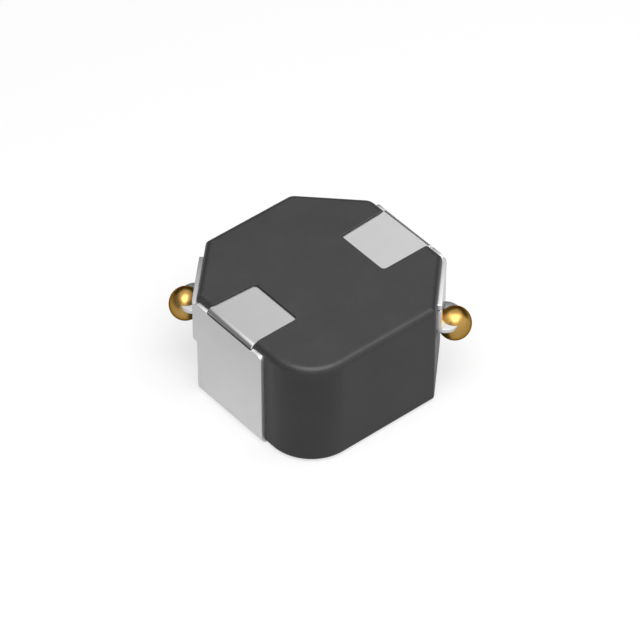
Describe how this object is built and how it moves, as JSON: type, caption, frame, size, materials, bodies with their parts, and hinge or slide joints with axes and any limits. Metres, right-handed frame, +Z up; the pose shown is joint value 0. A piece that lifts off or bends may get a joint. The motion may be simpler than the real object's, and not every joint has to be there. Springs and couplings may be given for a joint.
{
  "type": "shielded power inductor",
  "caption": "Low moulded block with cut corners, holding a copper coil, with folded tin-plated terminals whose shelves carry the welded wire ends. Sits on its solder pads.",
  "frame": {"origin": "middle of the footprint, at the height of the solder pads' undersides", "axes": "+X from the left terminal to the right terminal, +Z up from the board; the round corner points to -X and -Y"},
  "size_m": [0.0052, 0.005, 0.0028],
  "materials": {
    "moulded_powder": "matt, fine grained, dark grey",
    "tinned_sheet": "satin tin plating",
    "enamelled_copper": "glossy clear enamel over copper",
    "weld_metal": "bright melted copper and tin"
  },
  "bodies": {
    "root": {"moulded_block": "moulded_powder", "coil_winding": "enamelled_copper", "left_terminal": "tinned_sheet", "right_terminal": "tinned_sheet", "left_weld_bead": "weld_metal", "right_weld_bead": "weld_metal"}
  },
  "joints": []
}
